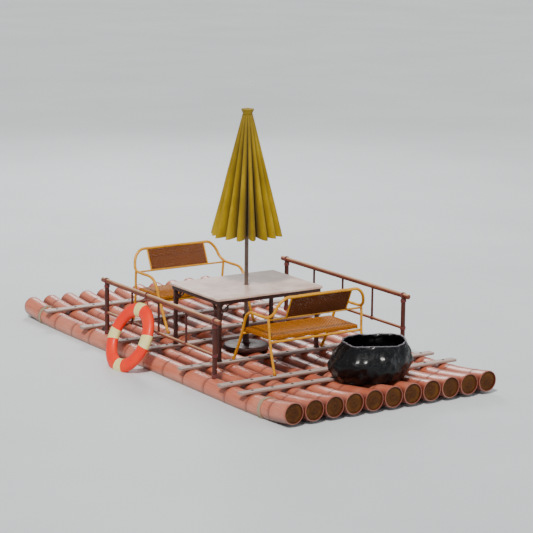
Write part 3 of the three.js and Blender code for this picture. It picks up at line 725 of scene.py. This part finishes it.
def baseShape():
    p = parasolSet
    foot = deckZ + gap
    top, base, socket, mouth, bore = foot + p["baseThick"], p["base"], p["socket"], p["socketZ"], p["bore"]
    profile = [(0.02, foot), (base - 0.008, foot), (base - 0.002, foot + 0.003), (base, foot + 0.010),
               (base, top - 0.016), (base - 0.003, top - 0.009), (base - 0.012, top - 0.003), (base - 0.026, top),
               (0.12, top + 0.002), (socket + 0.024, top + 0.005), (socket + 0.013, top + 0.009),
               (socket + 0.005, top + 0.018), (socket, top + 0.034), (socket, mouth - 0.016),
               (socket + 0.003, mouth - 0.014), (socket + 0.003, mouth - 0.003), (socket + 0.001, mouth),
               (bore + 0.001, mouth), (bore, mouth - 0.002), (bore, foot + 0.012), (0.002, foot + 0.012)]
    parts = [placed(turned(profile, sides=72), shift=parasolSpot)]
    turn = Matrix.Rotation(math.radians(215), 3, "Z")
    for reaches, radius, sides, bevel in (((-0.002, 0.02, 0.045), 0.0055, 14, 0.25),
                                          ((0.028, 0.036, 0.05), 0.016, 20, 0.35)):
        path = [(socket + reach, 0, mouth - 0.07) for reach in reaches]
        parts.append(placed(tube(path, radius, sides, bevel), turn, parasolSpot))
    return parts


def ribShapes():
    p = parasolSet
    slope = (p["hem"] - p["neck"]) / (p["neckZ"] - p["hemZ"])
    footZ = p["hemZ"] + 0.006
    ribFoot = p["neck"] + slope * (p["neckZ"] - footZ) - 0.010 - p["rib"] - 0.0011
    ribTop = p["crown"] - p["rib"]
    share = (p["crownZ"] - p["stretcherTopZ"]) / (p["crownZ"] - footZ)
    reach = ribTop + (ribFoot - ribTop) * share - p["rib"] - p["stretcher"] - 0.0006
    rib = rod((ribTop, 0, p["crownZ"]), (ribFoot, 0, footZ), 24, p["rib"], 12)
    armFoot = (p["runner"] - p["stretcher"], 0, p["runnerZ"] + 0.016)
    arm = rod(armFoot, (reach, 0, p["stretcherTopZ"]), 10, p["stretcher"], 10)
    bore = p["pole"] + gap
    sets = []
    for part, radius, low, high in ((rib, p["crown"], p["crownZ"] - 0.014, p["crownZ"] + 0.012),
                                    (arm, p["runner"], p["runnerZ"] - 0.025, p["runnerZ"] + 0.025)):
        turns = [Matrix.Rotation(number * math.tau / p["ribs"], 3, "Z") for number in range(p["ribs"])]
        hub = [(bore, low), (radius - 0.003, low), (radius, low + 0.003), (radius, high - 0.003),
               (radius - 0.003, high), (bore, high)]
        sets.append([placed(part, turn, parasolSpot) for turn in turns] + [turned(hub, parasolSpot, 40, loop=True)])
    return sets


# eight rounded lobes over the ribs, with deep narrow folds between them
clothSet = {
    "rows": 46, "pleats": 16, "pleatSteps": 18, "power": 0.7, "topDepth": 0.10, "hemDepth": 0.52, "scallop": 0.02,
    "wrinkle": 0.004, "midFold": 0.07, "flat": (2.18, 2.18), "area": 3.94,
}


def clothShape():
    p, c = parasolSet, clothSet
    half = math.pi / c["pleats"]
    spread = np.linspace(-1, 1, c["pleatSteps"], endpoint=False)
    offsets = np.sign(spread) * (1 - (1 - np.abs(spread)) ** 1.7) * half
    angles = (np.arange(c["pleats"])[:, None] * 2 * half + offsets[None, :]).ravel()
    openness = np.abs(np.cos(angles * c["pleats"] / 2)) ** c["power"]
    uneven = np.repeat([1 + 0.3 * noise.noise((pleat * 1.7, 3, 5)) for pleat in range(c["pleats"])], c["pleatSteps"])
    uneven = 0.25 * (np.roll(uneven, 4) + np.roll(uneven, -4) + 2 * uneven)
    # the lobe midway between two ribs hangs in a little
    midway = np.repeat(np.arange(c["pleats"]) % 2, c["pleatSteps"])
    fold = (1 - openness) * uneven + c["midFold"] * openness * midway
    grid, marks = [], []
    for row in range(c["rows"] + 1):
        down = row / c["rows"]
        depth = c["topDepth"] + (c["hemDepth"] - c["topDepth"]) * min(1, down * 1.6) ** 0.9
        twist = 0.05 * math.sin(down * 2.5) + 0.03 * np.sin(3 * angles + 1)
        hemLift = c["scallop"] * down ** 6 * fold
        z = p["neckZ"] - (p["neckZ"] - p["hemZ"]) * down + hemLift
        radius = p["neck"] + (p["hem"] - p["neck"]) * down
        r = radius * (1 - depth * fold)
        turn = angles + twist * fold
        x, y = r * np.cos(turn), r * np.sin(turn)
        wave = np.array([noise.noise((a * 7, b * 7, d * 2.2)) for a, b, d in zip(x, y, z)])
        grow = 1 + (wave - 0.35) * c["wrinkle"] * down / max(0.05, radius) * 1.6
        x, y = x * np.minimum(grow, 1.0), y * np.minimum(grow, 1.0)
        grid.append(np.column_stack([x, y, np.broadcast_to(z, x.shape)]))
        # painted shade in the folds, stronger towards the hem
        marks.append(np.clip((1 - openness) * 1.5 - 0.25, 0, 1) * (0.25 + 0.75 * min(1, down * 1.8)))
    grid, marks = np.array(grid), np.array(marks)
    alongDown = np.gradient(grid, axis=0)
    aroundIt = np.roll(grid, -1, 1) - np.roll(grid, 1, 1)
    normals = unit(np.cross(aroundIt, alongDown))
    outward = np.einsum("ijk,ijk->ij", normals, grid * (1, 1, 0)).mean()
    inner = grid - normals * math.copysign(p["cloth"], outward)
    rings = np.vstack([grid, inner[::-1]])
    return placed(loft(rings, loop=True, mark=np.vstack([marks, marks[::-1]])), shift=parasolSpot)


def capShape():
    top, foot = parasolSet["topZ"], parasolSet["neckZ"] + gap
    profile = [(0.004, foot), (0.043, foot), (0.045, foot + 0.003), (0.046, foot + 0.012), (0.050, foot + 0.024)]
    profile += [(radius, top - below) for radius, below in (
        (0.0575, 0.022), (0.0615, 0.0145), (0.0612, 0.011), (0.0595, 0.009), (0.045, 0.0085), (0.022, 0.006),
        (0.014, 0.003), (0.011, 0.001), (0.004, 0))]
    return placed(turned(profile, sides=48), shift=parasolSpot)


makePiece("parasolBase", baseShape(), [ironFinish], ["parasol_base"])
poleFoot, poleTop = deckZ + 0.0126, parasolSet["crownZ"] + 0.024
pole = rod((*parasolSpot[:2], poleFoot), (*parasolSpot[:2], poleTop), 40, parasolSet["pole"], 32, bevel=0.1)
crownParts, runnerParts = ribShapes()
for name, parts, node in (("Pole", [pole], "pole"), ("Crown", crownParts, "crown_ribs"),
                          ("Runner", runnerParts, "runner")):
    makePiece(f"parasol{name}", parts, [poleFinish], [f"parasol_{node}"], body="parasol")
cloth = makePiece("parasolCloth", [clothShape()], [clothFinish], ["parasol_canopy"], 75, "parasol")
makePiece("parasolCap", [capShape()], [clothFinish], ["parasol_cap"], body="parasol")
print("parasol made")

# benches: one bent tube for front legs, arms and back arch; woven seat and back
benchSet = {
    "tube": 0.014, "half": 0.495, "frontFootY": 0.35, "rearFootY": -0.34, "seatTopZ": 0.342, "seatThick": 0.042,
    "seatHalf": 0.482, "seatFrontY": 0.2, "seatRearY": -0.25, "armZ": 0.512, "archZ": 0.708, "archY": -0.354,
    "archHalf": 0.435, "backRailZ": 0.5, "backRailY": -0.262, "panelHalf": 0.32, "upright": 0.008,
    "crossTube": 0.012, "backRail": 0.009, "footZ": deckZ + 0.0256,
    "places": {"near": (-0.1, -1.11, 0.0), "far": (-0.1, 0.79, math.pi)},
}
seatMiddleY = (benchSet["seatFrontY"] + benchSet["seatRearY"]) / 2
seatHalfY = (benchSet["seatFrontY"] - benchSet["seatRearY"]) / 2
weaveSet = {
    "pitch": 0.018, "wide": 0.0155, "thick": 0.0026, "roll": 0.016, "sag": 0.006, "skirt": 0.018,
    "backPitch": 0.016, "backWide": 0.0136, "backThick": 0.0036, "bulge": 0.010,
}


def benchTubes():
    b = benchSet
    half, arm, arch, archY, archHalf = (b[key] for key in ("half", "armZ", "archZ", "archY", "archHalf"))
    # from a front foot up over the arm to the arch: way out past the feet or the arch, y, z
    left = [(-half - out, y, z) for out, y, z in (
        (0, b["frontFootY"] + 0.006, 0.0), (0.002, b["frontFootY"] - 0.084, 0.160), (0.006, 0.196, 0.300),
        (0.010, 0.150, 0.415), (0.014, 0.108, 0.474), (0.017, 0.040, arm - 0.004), (0.018, -0.120, arm),
        (0.016, -0.246, arm + 0.008), (-0.002, -0.306, 0.560))]
    left += [(-archHalf - out, y, z) for out, y, z in (
        (0.036, -0.334, 0.626), (0.004, -0.348, 0.672), (-0.044, archY, arch - 0.003), (-0.150, archY, arch))]
    right = [(-x, y, z) for x, y, z in reversed(left)]
    parts = [tube(smoothPath([*left, (0, archY, arch + 0.002), *right], 190), b["tube"], 16)]
    for side in (-1, 1):
        leg = [(side * (half + out), y, z) for out, y, z in (
            (0, b["rearFootY"] - 0.002, 0.0), (0.005, -0.292, 0.190), (0.009, -0.270, 0.320),
            (0.014, -0.262, 0.430), (0.016, -0.254, arm))]
        parts.append(tube(smoothPath(leg, 36), b["tube"] - 0.002, 14))
        x = side * (b["panelHalf"] + b["upright"] + gap)
        parts.append(rod((x, b["backRailY"], b["backRailZ"]), (x, archY, arch), 8, b["upright"], 12))
        for y, slope in ((b["frontFootY"] + 0.004, -0.45), (b["rearFootY"], 0.2)):
            cap = [(side * half, y, 0.0), (side * half, y, 0.012), (side * half, y + slope * 0.02, 0.03)]
            parts.append(tube(cap, b["tube"] + 0.003, 16, tone=0.2, mark=[0.8] * 5))
    seatRailZ = b["seatTopZ"] - b["seatThick"] - 0.0123
    for out, y, z, radius in ((0.006, b["seatFrontY"] - 0.016, seatRailZ, b["crossTube"]),
                              (0.006, b["seatRearY"] - 0.006, seatRailZ, b["crossTube"]),
                              (0.012, b["backRailY"], b["backRailZ"], b["backRail"])):
        parts.append(rod((-half - out, y, z), (half + out, y, z), 24, radius, 14))
    return parts


# strands over and under each other on a surface; both families have the same pitch
def woven(surface, runs, pitch, wide, thick, seed, density=3):
    parts = []
    counts = [int(round((high - low) / pitch)) for low, high in runs]
    for along, across in ((0, 1), (1, 0)):
        low, high = runs[along]
        first, last = runs[across]
        sweep = np.linspace(low, high, counts[along] * density + 1)
        for strand in range(counts[across]):
            level = np.full(len(sweep), first + (last - first) * (strand + 0.5) / counts[across])
            points, normals = surface(level, sweep) if along else surface(sweep, level)
            wave = np.cos(math.pi * ((sweep - low) / (high - low) * counts[along] - 0.5 + strand))
            wave *= (across - along) * thick * 0.55
            tone = 0.5 + 0.5 * noise.noise((strand * 0.7, seed, along + 1))
            # the mark paints shade where the strand dips under its crosser
            parts.append(flatBar(points + normals * wave[:, None], normals, wide, thick, tone=tone,
                                 mark=0.5 - wave / (thick * 0.55) / 2 * 0.9))
    return parts


# the seat's top, rolled down over its four edges
def seatSurface(u, v):
    b, roll = benchSet, weaveSet["roll"]
    flatX, flatY = b["seatHalf"] - roll, seatHalfY - roll
    past = np.abs(u) - flatX, np.abs(v) - flatY
    turnX, turnY = (np.clip(way / roll, 0, math.pi / 2) * np.sign(run) for way, run in zip(past, (u, v)))
    below = sum(np.maximum(0, way - roll * math.pi / 2) for way in past)
    normals = np.stack([np.sin(turnX), np.sin(turnY) * np.cos(turnX), np.cos(turnX) * np.cos(turnY)], -1)
    x, y = np.clip(u, -flatX, flatX), np.clip(v, -flatY, flatY)
    sag = weaveSet["sag"] * np.cos(x / flatX * math.pi / 2) * np.cos(y / flatY * math.pi / 2)
    place = np.stack([x, y + seatMiddleY, b["seatTopZ"] - roll - 0.003 - sag - below], -1)
    return place + normals * roll, normals


# the back panel between the lower rail and the arch; v is measured up along it
def backSurface(u, v):
    b = benchSet
    low = np.array([0, b["backRailY"], b["backRailZ"]])
    rise = np.array([0, b["archY"], b["archZ"]]) - low
    share = v / math.hypot(rise[1], rise[2])
    normal = unit(np.array([0, rise[2], -rise[1]]))
    bulge = -weaveSet["bulge"] * np.cos(u / b["panelHalf"] * math.pi / 2) * np.sin(share * math.pi)
    points = low + np.stack([u, 0 * u, 0 * u], -1) + share[:, None] * rise + bulge[:, None] * normal
    return points, np.broadcast_to(normal, points.shape)


# a closed slab just under the weave, so that nothing shows through it; its low tone and mark colour it dark as
# painted shade under the weave
def seatCore():
    edge = roundedOutline(benchSet["seatHalf"] - 0.006, seatHalfY - 0.006, 0.02, 5, 10)
    foot = benchSet["seatTopZ"] - benchSet["seatThick"] - 0.001
    rows = [(0.02, 0.001), (0.004, 0.004), (0, 0.012), (0, 0.024), (0.004, 0.031), (0.016, 0.0345), (0.12, 0.032),
            (0.2, 0.031)]
    rings = [atHeight(drawnIn(edge, inset), foot + z) + (0, seatMiddleY, 0) for inset, z in rows]
    return loft(rings, tone=0.1, mark=[0.8] * len(rings))


def makeBench(label, x, y, facing):
    b, w = benchSet, weaveSet
    turn = Matrix.Rotation(facing, 3, "Z")
    over = w["roll"] * (math.pi / 2 - 1) + w["skirt"]
    seatRuns = [(-reach - over, reach + over) for reach in (b["seatHalf"], seatHalfY)]
    wide, tall = b["panelHalf"] + 0.006, math.hypot(b["archY"] - b["backRailY"], b["archZ"] - b["backRailZ"])
    backRuns = [(-wide, wide), (0, tall)]
    seat = woven(seatSurface, seatRuns, w["pitch"], w["wide"], w["thick"], y)
    back = woven(backSurface, backRuns, w["backPitch"], w["backWide"], w["backThick"], y + 4)
    for name, parts, finish, slot, node, sharp in (
            ("Tubes", benchTubes(), benchPaint, "bench_tube", "frame", 50),
            ("Seat", [seatCore(), *seat], seatFinish, "bench_weave", "seat", 60),
            ("Back", back, backFinish, "bench_weave", "back", 60)):
        parts = [placed(part, turn, (raftX + x, y, b["footZ"])) for part in parts]
        makePiece(f"{label}Bench{name}", parts, [finish], [f"{label}_bench_{node}"], sharp)


for label, place in benchSet["places"].items():
    makeBench(label, *place)
print("benches made")

# lifebuoy: an oval-section ring with four pale bands
bandSet = {"angles": (90, 356, 176, 262), "half": 11, "proud": 0.0015, "sunk": 0.002}


def buoyShapes():
    s = buoySet
    up = np.array([math.sin(s["tilt"]), 0, math.cos(s["tilt"])])
    axis = np.array([math.cos(s["tilt"]), 0, -math.sin(s["tilt"])])
    middle = s["pivot"] - s["drop"] * up
    section = np.arange(28) * math.tau / 28

    def ringAt(angle, proud):
        outward = math.cos(angle) * np.array([0, 1, 0]) + math.sin(angle) * up
        a, b = (s["radial"] - 0.0015 + proud) * np.cos(section), (s["axial"] - 0.001 + proud) * np.sin(section)
        return middle + outward * (s["ring"] + a[:, None]) + b[:, None] * axis

    whole = loft([ringAt(angle, 0) for angle in np.arange(96) * math.tau / 96], loop=True)
    bands = []
    for centre in bandSet["angles"]:
        sweep = np.radians(np.linspace(centre - bandSet["half"], centre + bandSet["half"], 14))
        rings = [ringAt(angle, bandSet["proud"]) for angle in sweep]
        rings = [ringAt(sweep[0], -bandSet["sunk"]), *rings, ringAt(sweep[-1], -bandSet["sunk"])]
        bands.append(loft(rings, finish=1))
    return [whole, *bands]


makePiece("lifebuoyRing", buoyShapes(), [buoyOrange, buoyPale], ["lifebuoy_ring"], 50, "lifebuoy")
print("lifebuoy made")

# gear sack: an open slumped shell with creases and a rolled rim, sagging round a crossbar
sackSet = {
    "x": raftX + 0.09, "y": -1.96, "foot": 0.330, "high": 0.386, "slump": 0.062, "droop": 0.038, "sides": 128,
    "barReach": 0.041, "barSlope": 2.2,
    # rows of radius and height: the underside, then up the outside and down the inside with the radius counted
    # from the foot's, then the floor inside
    "under": [(0.02, 0.001), (0.10, 0.0005), (0.18, 0), (0.24, 0)],
    "outside": [
        (-0.045, 0), (-0.022, 0.004), (-0.006, 0.014), (0.004, 0.030), (0.020, 0.055), (0.036, 0.080),
        (0.046, 0.106), (0.052, 0.135), (0.054, 0.160), (0.050, 0.190), (0.043, 0.220), (0.029, 0.252),
        (0.012, 0.285), (-0.003, 0.315), (-0.017, 0.340), (-0.027, 0.360), (-0.031, 0.373), (-0.034, 0.382),
        (-0.038, 0.386), (-0.044, 0.384), (-0.046, 0.374), (-0.040, 0.352), (-0.014, 0.310), (0.010, 0.270),
        (0.024, 0.230), (0.034, 0.190), (0.036, 0.150), (0.022, 0.118), (-0.010, 0.092), (-0.06, 0.072),
    ],
    "floor": [(0.2, 0.064), (0.1, 0.060), (0.012, 0.058)],
}


# the pipes' rise as the CAD's straight pieces have it
def cadRise(y):
    end = pipeSet["nearRise"] if y < 0 else pipeSet["farRise"]
    past = max(0, abs(y) - pipeSet["straight"]) / pipeSet["bend"]
    step = min(pipeSet["bends"] - 1, int(past))
    low, high = (step / pipeSet["bends"]) ** 2, ((step + 1) / pipeSet["bends"]) ** 2
    return end * (low + (high - low) * (past - step))


def sackShape():
    s = sackSet
    high = s["high"]
    profile = s["under"] + [(s["foot"] + out, z) for out, z in s["outside"]] + s["floor"]
    around = np.arange(s["sides"]) * math.tau / s["sides"]
    turn = np.stack([np.cos(around), np.sin(around)], 1)
    reach = 0.96 * (s["foot"] - 0.03)
    nearRise, farRise = [cadRise(s["y"] + side * reach) for side in (-1, 1)]
    lean = math.atan((nearRise - farRise) / (-2 * reach))
    footZ = deckZ + (nearRise + farRise) / 2 + gap
    barY = plankSet["places"]["crossbar_near_end"]
    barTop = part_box("crossbar_near_end")[1].z + 0.0006
    wave = 1 + 0.035 * np.cos(2 * around) + 0.012 * np.cos(5 * around + 1)
    dip = 0.016 * np.array([noise.noise((c * 1.6, d * 1.6, 9)) - 0.45 for c, d in turn])
    rings, marks = [], []
    for place, (radius, z) in enumerate(profile):
        calm = min(1, radius / 0.2) * (0 if z < 0.012 and place < 6 else 1)
        crumple = [0.018 * noise.noise((c * 4.5, d * 4.5, z * 13)) + 0.011 * noise.noise((c * 11, d * 11, z * 27))
                   for c, d in turn]
        crease = [noise.ridged_multi_fractal((c * 2.6, d * 2.6, z * 7 + 4), 0.9, 2.0, 4, 1.0, 2.0) for c, d in turn]
        r = radius * wave + (np.array(crumple) - 0.007 - 0.006 * np.array(crease)) * calm
        fall = dip * max(0, (z - 0.2) / 0.186) - s["droop"] * (1 - 0.4 * turn[:, 1]) * (z / high) ** 2
        x, y, level = r * turn[:, 0] + s["slump"] * (z / high) ** 2, r * turn[:, 1], z + fall
        if place < 9:   # the underside and lower wall fold over the crossbar
            away = np.abs(y * math.cos(lean) + s["y"] - barY)
            over = barTop - footZ - y * math.sin(lean)
            level = np.maximum(level, over - np.clip((away - s["barReach"]) * s["barSlope"], 0, 1))
        rings.append(np.column_stack([x, y, level]))
        # the rim's top is marked, to be painted pale grey as a painted highlight along the rolled rim
        marks.append(1.0 if z > high - 0.006 else 0.0)
    return placed(loft(rings, mark=marks), Matrix.Rotation(lean, 3, "X"), (s["x"], s["y"], footZ))


makePiece("gearSackShell", [sackShape()], [vinylFinish], ["gear_sack"], 60)
print("sack made")

# the table's frame keeps its own shape
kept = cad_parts["table_frame"].data.materials
kept.clear()
kept.append(ironFinish)

# studio: pale floor at the waterline, pale sky, one soft sun, a fill and a rim
studioSet = {
    "waterZ": 0.055, "floor": 400, "dark": (205.2, 211.11, 214.0), "pale": (214.0, 218.24, 221.01),
    "sky": (0.88, 0.91, 0.95, 1), "skyStrength": 0.45,
    "sun": {"from": (-0.55, -0.50, 1.0), "energy": 3.6, "spread": math.radians(9), "colour": (1, 0.97, 0.92)},
    "lights": {
        "fillLight": {"spot": (9, -11, 5), "aim": (0, 0, 0.5), "size": 9, "energy": 450, "colour": (0.92, 0.96, 1)},
        "rimLight": {"spot": (5, 11, 8), "aim": (0, 0, 0.8), "size": 5, "energy": 700, "colour": (1, 1, 1)},
    },
}


def makeStudio():
    size, z = studioSet["floor"], studioSet["waterZ"]
    mesh = bpy.data.meshes.new("studioFloor")
    mesh.from_pydata([(-size, -size, z), (size, -size, z), (size, size, z), (-size, size, z)], [], [(0, 1, 2, 3)])
    ramp = ("haze", (0.3, studioSet["dark"]), (0.7, studioSet["pale"]))
    mesh.materials.append(makeFinish("floorPale", {"Roughness": 0.6}, {"haze": (plain, 0.4)}, ramp))
    addObject("studioFloor", mesh)
    world = bpy.data.worlds.new("studioSky")
    world.use_nodes = True
    background = world.node_tree.nodes["Background"].inputs
    background[0].default_value, background[1].default_value = studioSet["sky"], studioSet["skyStrength"]
    bpy.context.scene.world = world
    sun = bpy.data.lights.new("sunLight", "SUN")
    sun.energy, sun.angle, sun.color = (studioSet["sun"][key] for key in ("energy", "spread", "colour"))
    direction = Vector(studioSet["sun"]["from"])
    addObject("sunLight", sun).rotation_euler = direction.to_track_quat("Z", "Y").to_euler()
    for name, light in studioSet["lights"].items():
        lamp = bpy.data.lights.new(name, "AREA")
        lamp.shape = "DISK"
        lamp.size, lamp.energy, lamp.color = (light[key] for key in ("size", "energy", "colour"))
        aimAt(addObject(name, lamp, light["spot"]), light["aim"])


makeStudio()
